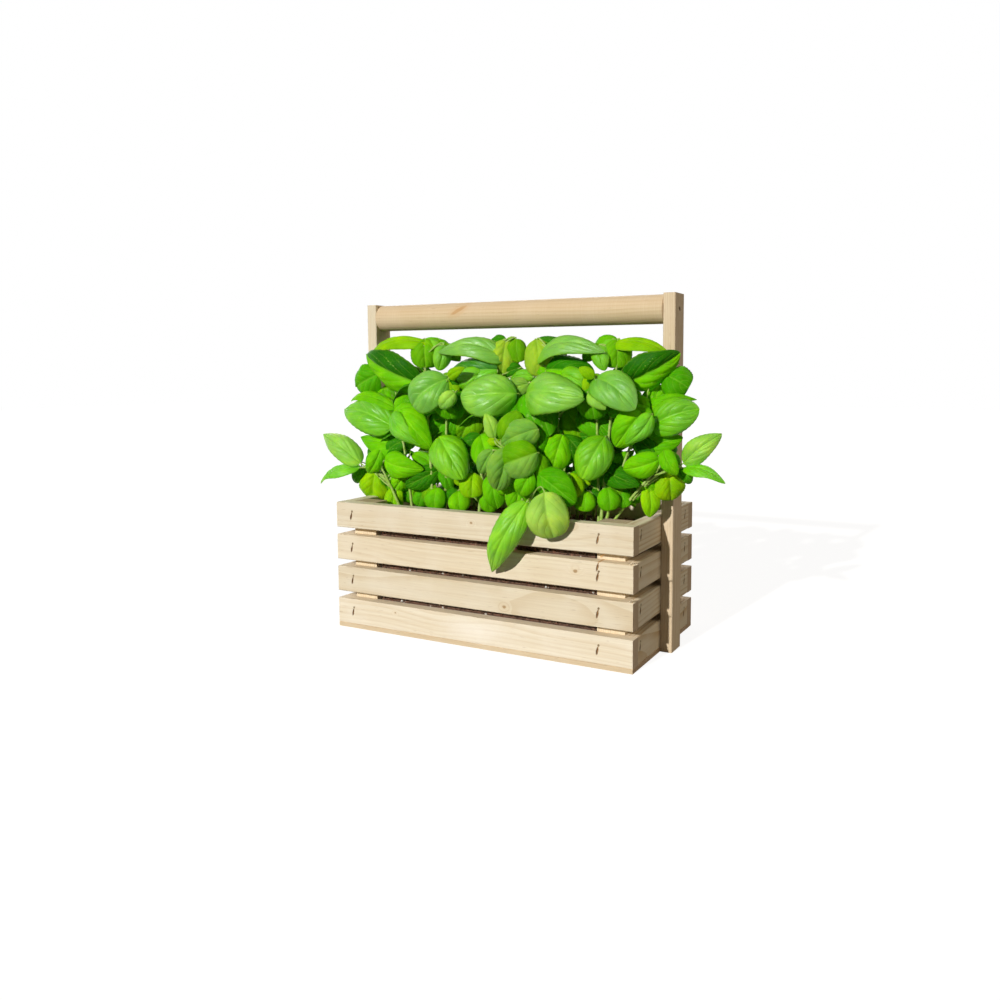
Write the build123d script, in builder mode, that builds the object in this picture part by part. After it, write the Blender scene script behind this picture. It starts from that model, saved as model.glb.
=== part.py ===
from build123d import *
import os
from math import cos, radians, sin

# Slatted pine herb trug with a dowel handle, planted with basil. Millimetres, +Z up.
# The origin is on the ground under the middle of the crate, +X to the right, -Y to the front.

# Crate
crate_length = 350.0
crate_width = 172.0
slat_height = 27.5
slat_gap = 8.0
slat_count = 4
slat_thickness = 13.5
base_thickness = 4.5
post_width = 29.0
post_depth = 20.0
edge_break = 0.7

# Handle
upright_thickness = 12.5
upright_depth = 26.0
upright_height = 357.0
dowel_diameter = 29.0
dowel_below_top = 15.0
dowel_end_break = 1.0

# Staples
staple_crown = 7.0
staple_leg = 25.0
staple_wire = 1.1
staple_sunk = 0.8
staple_lean = 12.0
staple_from_left = 20.0
staple_from_right = 36.0
staple_from_front = 19.0
staple_from_back = 25.0
end_staple_rise = 3.0
second_staple_rise = 9.5
second_staple_level = 2
stray_staple_leg = 12.0
stray_staple_lean = 55.0
base_staple_leg = 16.0
base_staple_spacing = 110.0
base_staple_end_spacing = 70.0
pocket_over = 0.5

# Screws
trim_head_diameter = 4.4
trim_head_length = 3.0
trim_shank_diameter = 3.0
trim_shank_length = 38.0
trim_sunk = 2.5
wall_head_diameter = 7.0
wall_head_length = 2.4
wall_shank_diameter = 3.5
wall_screw_length = 22.0
wall_screw_levels = (0, 2)
screw_point = 3.0
screw_clearance = 0.05

# Bed
liner_wall = 0.8
liner_clearance = 0.4
liner_below_rim = 17.5
soil_below_rim = 19.5

# Foliage
handle_lane = 18.0
root_depth = 30.0
root_margin = 6.0
stem_radius = 2.2
stem_set = 2.0
stem_foot = 6.0
petiole_radius = 1.1
petiole_drop = 12.0
petiole_bite = 3.0
lowest_joint = 0.1
highest_joint = 0.97
leaf_thickness = 1.6
leaf_fold = 0.22
leaf_crown = 0.09
pair_length = 38.0
pair_slim = 0.66
pair_droop = 0.7
pair_start = 6.0
pair_turn = 65.0
stem_turn = 25.0
lane_gap = 5.0
shortest_leaf = 12.0
tall_stem = 100.0
front_tiers = (0.46, 0.62, 0.78)
back_tiers = (0.49, 0.67, 0.84, 1.0)
back_foot_share = 0.4

# Worked out
rim_height = base_thickness + slat_count * slat_height + (slat_count - 1) * slat_gap
inner_length = crate_length - 2 * slat_thickness
inner_width = crate_width - 2 * slat_thickness
upright_x = crate_length / 2 + upright_thickness / 2
dowel_height = upright_height - dowel_below_top
soil_top = rim_height - soil_below_rim
bed_floor = base_thickness + liner_wall
row_depth = (handle_lane + inner_width / 2) / 2
bed_reach = inner_length / 2 - post_width - liner_clearance - liner_wall - root_margin

os.makedirs("parts", exist_ok=True)


def finish(builder, name):
    builder.part.label = name
    export_step(builder.part, f"parts/{name}.step")


def slat_middle(level):
    return base_thickness + level * (slat_height + slat_gap) + slat_height / 2


# Staple: a square wire bent to a U, its crown across X and its legs down -Z
def staple(leg, top):
    half = staple_crown / 2
    inside = half - staple_wire
    under = -staple_sunk - staple_wire
    toe = -staple_sunk - leg
    with BuildPart() as piece:
        with BuildSketch(Plane.XZ):
            with BuildLine():
                Polyline(
                    (-half, top), (half, top), (half, toe), (inside, toe),
                    (inside, under), (-inside, under), (-inside, toe), (-half, toe),
                    close=True,
                )
            make_face()
        extrude(amount=staple_wire / 2, both=True)
    return piece.part


wall_staple = staple(staple_leg, -staple_sunk)
wall_pocket = staple(staple_leg, pocket_over)
base_staple = staple(base_staple_leg, -staple_sunk)
base_pocket = staple(base_staple_leg, pocket_over)
stray_staple = staple(stray_staple_leg, -staple_sunk)

# Where each staple stands: wall, level and a frame whose Z points out of the wood
lean = radians(staple_lean)
wall_fixings = []
for level in range(slat_count):
    middle = slat_middle(level)
    for x in (-crate_length / 2 + staple_from_left, crate_length / 2 - staple_from_right):
        for wall, side in (("front", -1), ("back", 1)):
            place = (x, side * crate_width / 2, middle)
            frame = Plane(place, x_dir=(sin(lean), 0, cos(lean)), z_dir=(0, side, 0))
            wall_fixings.append((wall, level, frame))
    for y in (-crate_width / 2 + staple_from_front, crate_width / 2 - staple_from_back):
        for wall, side in (("left", -1), ("right", 1)):
            place = (side * crate_length / 2, y, middle + end_staple_rise)
            frame = Plane(place, x_dir=(0, sin(lean), cos(lean)), z_dir=(side, 0, 0))
            wall_fixings.append((wall, level, frame))

# One slat has a second staple at its right end
right_staple_x = crate_length / 2 - staple_from_right
second_place = (right_staple_x, -crate_width / 2, slat_middle(second_staple_level) + second_staple_rise)
second_frame = Plane(second_place, x_dir=(sin(lean), 0, cos(lean)), z_dir=(0, -1, 0))
wall_fixings.append(("front", second_staple_level, second_frame))

# A stray staple stands proud on the post in the gap above that slat
stray_lean = radians(stray_staple_lean)
stray_z = slat_middle(second_staple_level) + slat_height / 2 + slat_gap / 2
stray_out = staple_sunk + staple_wire
stray_place = (right_staple_x, -inner_width / 2 - stray_out, stray_z)
stray_frame = Plane(stray_place, x_dir=(sin(stray_lean), 0, cos(stray_lean)), z_dir=(0, -1, 0))

# Staples from below hold the base sheet to the lowest slats
base_frames = []
for side in (-1, 1):
    for x in (-base_staple_spacing, 0.0, base_staple_spacing):
        place = (x, side * (crate_width - slat_thickness) / 2, 0)
        base_frames.append(Plane(place, x_dir=(1, 0, 0), z_dir=(0, 0, -1)))
    for y in (-base_staple_end_spacing / 2, base_staple_end_spacing / 2):
        place = (side * (crate_length - slat_thickness) / 2, y, 0)
        base_frames.append(Plane(place, x_dir=(0, 1, 0), z_dir=(0, 0, -1)))


def frames_on(wall, level=None):
    return [frame for at, row, frame in wall_fixings if at == wall and level in (None, row)]


def spots(frames):
    return [frame.location for frame in frames]


# Screws, along -Z from a frame whose Z points back at the driver
def screw(profile):
    with BuildPart() as piece:
        with BuildSketch(Plane.XZ):
            with BuildLine():
                Polyline(*profile, close=True)
            make_face()
        revolve(axis=Axis.Z)
    return piece.part


def trim_screw(grow, top):
    head = trim_head_diameter / 2 + grow
    shank = trim_shank_diameter / 2 + grow
    neck = -trim_sunk - trim_head_length - grow
    end = neck - trim_shank_length
    return screw([(0, top), (head, top), (head, neck), (shank, neck), (shank, end), (0, end - screw_point)])


def wall_screw(grow):
    head = wall_head_diameter / 2 + grow
    shank = wall_shank_diameter / 2 + grow
    end = -wall_screw_length
    return screw([(0, 0), (head, 0), (shank, -wall_head_length), (shank, end), (0, end - screw_point)])


handle_screw = trim_screw(0, -trim_sunk)
handle_screw_hole = trim_screw(screw_clearance, pocket_over)
upright_screw = wall_screw(0)
upright_screw_hole = wall_screw(screw_clearance)

outer_reach = crate_length / 2 + upright_thickness
handle_screw_frames = [
    Plane((side * outer_reach, 0, dowel_height), x_dir=(0, 1, 0), z_dir=(side, 0, 0))
    for side in (-1, 1)
]
upright_screw_frames = [
    Plane((side * inner_length / 2, 0, slat_middle(level)), x_dir=(0, 1, 0), z_dir=(-side, 0, 0))
    for side in (-1, 1)
    for level in wall_screw_levels
]

# Long slats at the front and back
for wall, side in (("front", -1), ("back", 1)):
    for level in range(slat_count):
        with BuildPart() as long_slat:
            with Locations((0, side * (crate_width - slat_thickness) / 2, slat_middle(level))):
                Box(crate_length, slat_thickness, slat_height)
            chamfer(long_slat.edges().filter_by(Axis.X), edge_break)
            with Locations(*spots(frames_on(wall, level))):
                add(wall_pocket, mode=Mode.SUBTRACT)
            if level == 0:
                with Locations(*spots(base_frames)):
                    add(base_pocket, mode=Mode.SUBTRACT)
        finish(long_slat, f"{wall}_slat_{level + 1}")

# End slats, butted between the long ones
for wall, side in (("left", -1), ("right", 1)):
    for level in range(slat_count):
        with BuildPart() as end_slat:
            with Locations((side * (crate_length - slat_thickness) / 2, 0, slat_middle(level))):
                Box(slat_thickness, inner_width, slat_height)
            chamfer(end_slat.edges().filter_by(Axis.Y), edge_break)
            with Locations(*spots(frames_on(wall, level))):
                add(wall_pocket, mode=Mode.SUBTRACT)
            if level in wall_screw_levels:
                with Locations(*spots(upright_screw_frames)):
                    add(upright_screw_hole, mode=Mode.SUBTRACT)
            if level == 0:
                with Locations(*spots(base_frames)):
                    add(base_pocket, mode=Mode.SUBTRACT)
        finish(end_slat, f"{wall}_end_slat_{level + 1}")

# Corner posts inside the crate
for depth_name, y_side in (("front", -1), ("back", 1)):
    for end_name, x_side in (("left", -1), ("right", 1)):
        with BuildPart() as post:
            post_x = x_side * (inner_length - post_width) / 2
            post_y = y_side * (inner_width - post_depth) / 2
            with Locations((post_x, post_y, (base_thickness + rim_height) / 2)):
                Box(post_width, post_depth, rim_height - base_thickness)
            with Locations(*spots(frames_on(depth_name) + frames_on(end_name))):
                add(wall_pocket, mode=Mode.SUBTRACT)
            with Locations(stray_frame.location):
                add(stray_staple, mode=Mode.SUBTRACT)
        finish(post, f"{depth_name}_{end_name}_post")

# Base sheet
with BuildPart() as base_sheet:
    with Locations((0, 0, base_thickness / 2)):
        Box(crate_length, crate_width, base_thickness)
    with Locations(*spots(base_frames)):
        add(base_pocket, mode=Mode.SUBTRACT)
finish(base_sheet, "base_sheet")

# Uprights outside the end walls
for name, side in (("left_upright", -1), ("right_upright", 1)):
    with BuildPart() as upright:
        with Locations((side * upright_x, 0, upright_height / 2)):
            Box(upright_thickness, upright_depth, upright_height)
        chamfer(upright.edges().filter_by(Axis.Z), edge_break)
        with Locations(*spots(handle_screw_frames)):
            add(handle_screw_hole, mode=Mode.SUBTRACT)
        with Locations(*spots(upright_screw_frames)):
            add(upright_screw_hole, mode=Mode.SUBTRACT)
    finish(upright, name)

# Dowel handle between the uprights
with BuildPart() as handle_dowel:
    with BuildSketch(Plane.YZ.offset(-crate_length / 2)):
        with Locations((0, dowel_height)):
            Circle(dowel_diameter / 2)
    extrude(amount=crate_length)
    chamfer(handle_dowel.edges().filter_by(GeomType.CIRCLE), dowel_end_break)
    with Locations(*spots(handle_screw_frames)):
        add(handle_screw_hole, mode=Mode.SUBTRACT)
finish(handle_dowel, "handle_dowel")

# Fasteners, one node for each group
for wall in ("front", "back", "left", "right"):
    with BuildPart() as wall_staples:
        with Locations(*spots(frames_on(wall))):
            add(wall_staple)
        if wall == "front":
            with Locations(stray_frame.location):
                add(stray_staple)
    finish(wall_staples, f"{wall}_staples")

with BuildPart() as base_staples:
    with Locations(*spots(base_frames)):
        add(base_staple)
finish(base_staples, "base_staples")

with BuildPart() as handle_screws:
    with Locations(*spots(handle_screw_frames)):
        add(handle_screw)
finish(handle_screws, "handle_screws")

with BuildPart() as upright_screws:
    with Locations(*spots(upright_screw_frames)):
        add(upright_screw)
finish(upright_screws, "upright_screws")


# Bed: a film liner that steps round the posts
def bed_outline(inset):
    Rectangle(inner_length - 2 * inset, inner_width - 2 * post_depth - 2 * inset)
    Rectangle(inner_length - 2 * post_width - 2 * inset, inner_width - 2 * inset)


with BuildPart() as liner:
    with BuildSketch(Plane.XY.offset(base_thickness)):
        bed_outline(liner_clearance)
    extrude(amount=rim_height - liner_below_rim - base_thickness)
    with BuildSketch(Plane.XY.offset(bed_floor)):
        bed_outline(liner_clearance + liner_wall)
    extrude(amount=rim_height, mode=Mode.SUBTRACT)
finish(liner, "liner")

# Foliage is laid out as seen from in front and to the right of the planter.
# Across and height are measured on the upright plane through the middle that faces the eye.
sight_turn = radians(26.1)
sight_point = Vector(461, -798, soil_top + 161)
to_eye = Vector(sin(sight_turn), -cos(sight_turn), 0)
mirror_across = 6.0


def seen(across, height, depth):
    on_plane = Vector(across * cos(sight_turn), across * sin(sight_turn), soil_top + height)
    reach = (depth - sight_point.Y) / (on_plane.Y - sight_point.Y)
    return sight_point + (on_plane - sight_point) * reach, reach


def rod(start, end, radius):
    with BuildPart() as piece:
        with BuildSketch(Plane(start, z_dir=end - start)):
            RegularPolygon(radius, 6)
        extrude(amount=(end - start).length)
    return piece.part


# Half outline of a basil leaf: share of the length, share of the width
leaf_base = ((0.0, 0.05), (0.16, 0.33), (0.45, 0.5))
leaf_tip = ((0.45, 0.5), (0.76, 0.34), (1.0, 0.0))
leaf_middle = 0.45


def upper_side(base, tip, facing):
    forward = (tip - base).normalized()
    return (facing - forward * facing.dot(forward)).normalized()


# Leaf: two halves that fall away from the midrib, crowned at the middle and drooping to the tip
def leaf(base, tip, width, facing):
    midrib = tip - base
    up = upper_side(base, tip, facing)
    across = midrib.normalized().cross(up)

    def point(share, offset):
        if share <= leaf_middle:
            rise = leaf_crown * share / leaf_middle
        else:
            rise = leaf_crown * (1 - share) / (1 - leaf_middle)
        lift = rise * midrib.length - abs(offset) * leaf_fold
        return base + midrib * share + across * offset + up * lift

    with BuildPart() as blade:
        for outline in (leaf_base, leaf_tip):
            for side in (-1, 1):
                edge = [point(share, side * half * width) for share, half in outline if half]
                corners = [point(outline[0][0], 0)] + edge + [point(outline[-1][0], 0)]
                extrude(Face(Wire.make_polygon(corners)), amount=leaf_thickness, dir=up)
    return blade.part


# Plant: a plug of roots in the soil, stems, leaves, and a petiole from each leaf to the nearest stem
root_plugs = []


def plant(name, stems, leaves):
    feet_x = [foot.X for foot, top in stems]
    feet_y = [foot.Y for foot, top in stems]
    with BuildPart() as roots:
        middle = ((min(feet_x) + max(feet_x)) / 2, (min(feet_y) + max(feet_y)) / 2)
        with Locations((*middle, soil_top - root_depth / 2)):
            Box(
                max(feet_x) - min(feet_x) + 2 * root_margin,
                max(feet_y) - min(feet_y) + 2 * root_margin,
                root_depth,
            )
    root_plugs.append(roots.part)
    pieces = [roots.part]
    for foot, top in stems:
        pieces.append(rod(foot - Vector(0, 0, stem_set), foot + Vector(0, 0, stem_foot), stem_radius))
        pieces.append(rod(foot, top, stem_radius))
    for base, tip, width, facing in leaves:
        joints = []
        for foot, top in stems:
            climb = (base.Z - petiole_drop - foot.Z) / (top.Z - foot.Z)
            joints.append(foot + (top - foot) * min(max(climb, lowest_joint), highest_joint))
        joint = min(joints, key=lambda spot: (spot - base).length)
        bite = (tip - base).normalized() + upper_side(base, tip, facing) * leaf_crown / leaf_middle
        rise = upper_side(base, tip, facing) * leaf_thickness / 2
        pieces.append(rod(joint, base + bite * petiole_bite + rise, petiole_radius))
        pieces.append(leaf(base, tip, width, facing))
    with BuildPart() as growth:
        add(pieces)
    finish(growth, name)


# Pairs of opposite leaves up a stem, each pair turned from the one below it and kept out of the handle's lane
def leaf_pairs(foot, top, tiers, first_turn):
    side = 1 if foot.Y > 0 else -1
    pairs = []
    for tier, share in enumerate(tiers):
        node = foot + (top - foot) * share
        turn = radians(first_turn + pair_turn * tier)
        for outward in (Vector(cos(turn), sin(turn), 0), Vector(-cos(turn), -sin(turn), 0)):
            base = node + outward * pair_start
            length = pair_length
            inward = -side * outward.Y
            if inward > 0:
                length = min(length, (abs(base.Y) - handle_lane - lane_gap) / inward)
            if length > shortest_leaf:
                tip = base + (outward - Vector(0, 0, pair_droop)) * length
                pairs.append((base, tip, pair_slim * length, Vector(0, 0, 1)))
    return pairs


# A leaf row: across and height of the base, then of the tip, width, depth of each, turn about the midrib
side_leaves = (
    (-110, 195, -155, 187, 24, 14, -8, 70),
    (-95, 199, -98, 165, 30, 16, 6, 0),
    (-91, 200, -79, 178, 14, 18, 14, 30),
    (-102, 147, -162, 179, 46, 0, -14, -15),
    (-146, 156, -174, 146, 38, 16, 10, 0),
    (-115, 136, -125, 114, 18, 2, -4, 0),
    (-129, 113, -186, 124, 44, -10, -28, 10),
    (-130, 100, -168, 92, 18, -2, -12, 0),
    (-114, 77, -167, 90, 26, 2, -14, 25),
    (-141, 71, -164, 59, 20, -8, -18, 0),
    (-167, 62, -208, 94, 27, -6, -22, 0),
    (-169, 57, -211, 44, 24, -4, -16, 60),
    (-152, 54, -153, 24, 31, -14, -26, 0),
    (-166, 57, -177, 40, 13, 0, -4, 0),
    (-142, 69, -103, 57, 27, -12, -30, 0),
    (-124, 118, -96, 80, 34, -8, -22, 0),
    (-131, 102, -108, 82, 17, -22, -30, 0),
    (-71, 153, -112, 122, 46, -12, -34, 0),
    (-67, 158, -64, 134, 16, -8, -14, 0),
    (-64, 139, -81, 122, 16, -26, -32, 0),
    (-56, 124, -90, 92, 38, 14, 4, 0),
    (-82, 121, -93, 88, 20, 18, 10, 0),
    (-40, 120, -67, 88, 34, 18, 8, 0),
    (-85, 91, -61, 42, 37, -14, -32, 0),
    (-38, 87, -58, 45, 32, -6, -18, 0),
    (-2, 147, -57, 128, 44, -10, -34, 0),
    (-23, 186, -82, 189, 42, 10, -10, 55),
    (-22, 172, -70, 170, 32, 2, 6, -20),
    (-75, 188, -81, 163, 17, 4, -4, 0),
    (-68, 155, -54, 165, 11, -20, -26, 0),
    (-13, 88, -31, 83, 10, -10, -16, 0),
    (-82, 55, -120, 37, 24, 4, -10, 0),
    (-78, 57, -70, 32, 16, 6, 0, 0),
    (-85, 35, -88, 11, 25, -10, -18, 0),
    (-62, 31, -60, 9, 23, -12, -20, 0),
    (-45, 51, -47, 25, 28, -14, -26, 0),
    (-27, 31, -27, 8, 19, -8, -14, 0),
    (-124, 32, -138, 20, 16, -4, -8, 0),
    (-99, 33, -106, 16, 18, 0, -4, 0),
    (-9, 199, -12, 160, 30, 16, 8, 0),
)
# A stem row: across and depth of the foot, then across, height and depth of the top
side_stems = (
    (-121, 2, -150, 66, -4),
    (-111, -2, -126, 122, -2),
    (-88, 0, -98, 194, 10),
    (-78, -4, -72, 158, -10),
    (-40, -2, -22, 190, 8),
    (-22, -10, -40, 62, -10),
)
middle_leaves = (
    (-19, 90, -32, 118, 17, 9, 5, 0),
    (-14, 88, -9, 124, 33, 11, 5, 0),
    (26, 102, -16, 80, 30, 9, 5, 0),
    (25, 73, -14, 62, 44, 3, -7, 0),
    (-4, 79, -19, 32, 34, 7, -1, 0),
    (-24, 74, -39, 52, 20, 7, 5, 0),
    (13, 19, -28, -57, 33, -10, -17, 26),
    (33, 26, 38, -20, 46, -12, -19, 26),
    (32, 46, 58, 25, 24, 7, 5, 0),
    (18, 52, 4, 30, 21, 3, 1, 0),
)
middle_stems = (
    (-5, 25, -6, 86, 11),
    (4, 27, 20, 92, 9),
    (8, 25, 24, 42, 7),
)


def in_bed(point):
    return Vector(max(-bed_reach, min(bed_reach, point.X)), point.Y, soil_top)


# Depths are measured from the given row towards the back
def seen_plant(name, row_y, leaf_rows, stem_rows, mirrored=False):
    def turned(across):
        return 2 * mirror_across - across if mirrored else across

    stems = []
    leaves = []
    for index, (foot_across, foot_depth, top_across, top_height, top_depth) in enumerate(stem_rows):
        foot, foot_reach = seen(turned(foot_across), 0, row_y + foot_depth)
        top, top_reach = seen(turned(top_across), top_height, row_y + top_depth)
        stems.append((in_bed(foot), top))
        if top_height > tall_stem:
            leaves += leaf_pairs(in_bed(foot), top, front_tiers, index * stem_turn)
    for base_across, base_height, tip_across, tip_height, width, base_depth, tip_depth, turn in leaf_rows:
        base, base_reach = seen(turned(base_across), base_height, row_y + base_depth)
        tip, tip_reach = seen(turned(tip_across), tip_height, row_y + tip_depth)
        facing = to_eye * cos(radians(turn)) + Vector(0, 0, sin(radians(turn)))
        leaves.append((base, tip, width * base_reach, facing))
    plant(name, stems, leaves)


seen_plant("basil_front_left", -row_depth, side_leaves, side_stems)
seen_plant("basil_front_right", -row_depth, side_leaves, side_stems, mirrored=True)
seen_plant("basil_front_middle", -crate_width / 2, middle_leaves, middle_stems)

# The back row, which has leaf pairs all the way up
def back_plant(name, middle, tops):
    stems = []
    leaves = []
    for index, (offset, height) in enumerate(tops):
        foot = Vector(middle + offset * back_foot_share, row_depth, soil_top)
        top = Vector(middle + offset, row_depth, soil_top + height)
        stems.append((foot, top))
        leaves += leaf_pairs(foot, top, back_tiers, index * stem_turn)
    plant(name, stems, leaves)


back_plant("basil_back_left", -82.0, ((-46, 116), (-22, 149), (2, 160), (25, 146), (48, 121)))
back_plant("basil_back_right", 64.0, ((-46, 124), (-23, 157), (1, 148), (26, 158), (47, 112)))

# Soil, with a pocket for each plug of roots
with BuildPart() as soil:
    with BuildSketch(Plane.XY.offset(bed_floor)):
        bed_outline(liner_clearance + liner_wall)
    extrude(amount=soil_top - bed_floor)
    add(root_plugs, mode=Mode.SUBTRACT)
finish(soil, "soil")
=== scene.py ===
from math import cos, pi, radians, sin

import bpy
import numpy as np
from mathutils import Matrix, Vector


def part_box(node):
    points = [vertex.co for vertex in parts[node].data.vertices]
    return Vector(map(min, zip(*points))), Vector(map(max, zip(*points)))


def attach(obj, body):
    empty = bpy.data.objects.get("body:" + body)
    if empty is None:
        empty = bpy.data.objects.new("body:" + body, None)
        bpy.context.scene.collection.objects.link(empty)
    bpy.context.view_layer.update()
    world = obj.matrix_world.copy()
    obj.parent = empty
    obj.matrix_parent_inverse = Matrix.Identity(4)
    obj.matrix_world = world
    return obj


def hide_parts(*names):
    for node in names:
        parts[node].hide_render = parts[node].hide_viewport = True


# A slatted pine herb planter with a dowel handle, planted with basil. Metres, +Z up, in the frame's axes.
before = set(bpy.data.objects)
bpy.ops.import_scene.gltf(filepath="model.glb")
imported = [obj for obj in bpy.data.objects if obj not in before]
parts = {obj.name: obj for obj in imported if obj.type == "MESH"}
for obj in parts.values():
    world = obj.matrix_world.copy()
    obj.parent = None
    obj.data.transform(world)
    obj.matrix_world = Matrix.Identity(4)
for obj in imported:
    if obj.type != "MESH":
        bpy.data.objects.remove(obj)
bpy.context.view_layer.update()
scene = bpy.context.scene
MM = 0.001


# Node trees for the materials, the strewn grains and the sky
class NodeTree:
    def __init__(self, tree):
        self.tree = tree

    def feed(self, socket, value):
        if isinstance(value, bpy.types.NodeSocket):
            self.tree.links.new(value, socket)
        else:
            socket.default_value = value

    def add(self, kind, inputs=None, **settings):
        node = self.tree.nodes.new(kind)
        for key, value in settings.items():
            setattr(node, key, value)
        for key, value in (inputs or {}).items():
            self.feed(node.inputs[key], value)
        return node

    def math(self, operation, *values):
        return self.add("ShaderNodeMath", dict(enumerate(values)), operation=operation).outputs[0]

    def direct_rays(self):
        path = self.add("ShaderNodeLightPath").outputs
        shows = self.math("MAXIMUM", path["Is Camera Ray"], path["Is Glossy Ray"])
        return self.math("MAXIMUM", shows, path["Is Transmission Ray"])


class Graph(NodeTree):
    def __init__(self, name):
        self.material = bpy.data.materials.new(name)
        self.material.use_nodes = True
        super().__init__(self.material.node_tree)
        self.shader = self.tree.nodes["Principled BSDF"]

    def length(self, vector):
        return self.add("ShaderNodeVectorMath", {0: vector}, operation="LENGTH").outputs["Value"]

    def join(self, x, y, z):
        return self.add("ShaderNodeCombineXYZ", {0: x, 1: y, 2: z}).outputs[0]

    def split(self, vector):
        return self.add("ShaderNodeSeparateXYZ", {0: vector}).outputs

    def here(self):
        return self.add("ShaderNodeTexCoord").outputs["Object"]

    def noise(self, place, scale=1.0, detail=2.0, roughness=0.5):
        inputs = {"Vector": place, "Scale": scale, "Detail": detail, "Roughness": roughness}
        return self.add("ShaderNodeTexNoise", inputs).outputs["Fac"]

    def spread(self, value, low, high, new_low=0.0, new_high=1.0):
        inputs = {"Value": value, "From Min": low, "From Max": high, "To Min": new_low, "To Max": new_high}
        return self.add("ShaderNodeMapRange", inputs, interpolation_type="SMOOTHSTEP").outputs["Result"]

    def mix(self, factor, first, second, blend="MIX"):
        node = self.add("ShaderNodeMix", data_type="RGBA", blend_type=blend, clamp_factor=True)
        for socket, value in zip((node.inputs[0], node.inputs[6], node.inputs[7]), (factor, first, second)):
            self.feed(socket, value)
        return node.outputs[2]

    def bump(self, height, distance, strength=1.0):
        node = self.add("ShaderNodeBump", {"Height": height, "Distance": distance, "Strength": strength})
        self.feed(self.shader.inputs["Normal"], node.outputs[0])

    def finish(self, **inputs):
        for key, value in inputs.items():
            self.feed(self.shader.inputs[key.replace("_", " ")], value)
        return self.material


# Meshes from lists of points
square = ((-1, -1), (1, -1), (1, 1), (-1, 1))


def new_piece(name, points, faces, materials, face_materials=None, smooth=True):
    mesh = bpy.data.meshes.new(name)
    mesh.from_pydata([tuple(p) for p in points], [], [tuple(f) for f in faces])
    for material in materials:
        mesh.materials.append(material)
    if face_materials is not None:
        mesh.polygons.foreach_set("material_index", np.array(face_materials, np.int32))
    mesh.polygons.foreach_set("use_smooth", np.full(len(mesh.polygons), smooth))
    mesh.validate()
    mesh.update()
    piece = bpy.data.objects.new(name, mesh)
    scene.collection.objects.link(piece)
    return piece


# Sawn pine: growth rings round a pith line along the grain, fine fibres, resin flecks, knots and scars
across_order = {"X": ("Y", "Z", "X"), "Y": ("X", "Z", "Y"), "Z": ("X", "Y", "Z")}
early_wood = (0.86, 0.755, 0.56, 1)
late_wood = (0.64, 0.47, 0.26, 1)
streak_wood = (0.72, 0.57, 0.36, 1)
pale_wood = (0.93, 0.85, 0.69, 1)
fibre_wood = (0.42, 0.28, 0.14, 1)
fleck_wood = (0.34, 0.20, 0.09, 1)
halo_wood = (0.74, 0.55, 0.32, 1)
knot_wood = (0.46, 0.31, 0.16, 1)
end_wood = (0.70, 0.62, 0.57, 1)
plain_contrast = 0.42
ring_wander = 16 * MM
ring_wave = 7 * MM
knot_swell = 5 * MM
knot_stretch = 1.3
wood_relief = 0.35 * MM


def stretched(g, first, second, along, fine, coarse):
    ways = ((first, fine), (second, fine), (along, coarse))
    return g.join(*(g.math("MULTIPLY", way, scale) for way, scale in ways))


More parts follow.
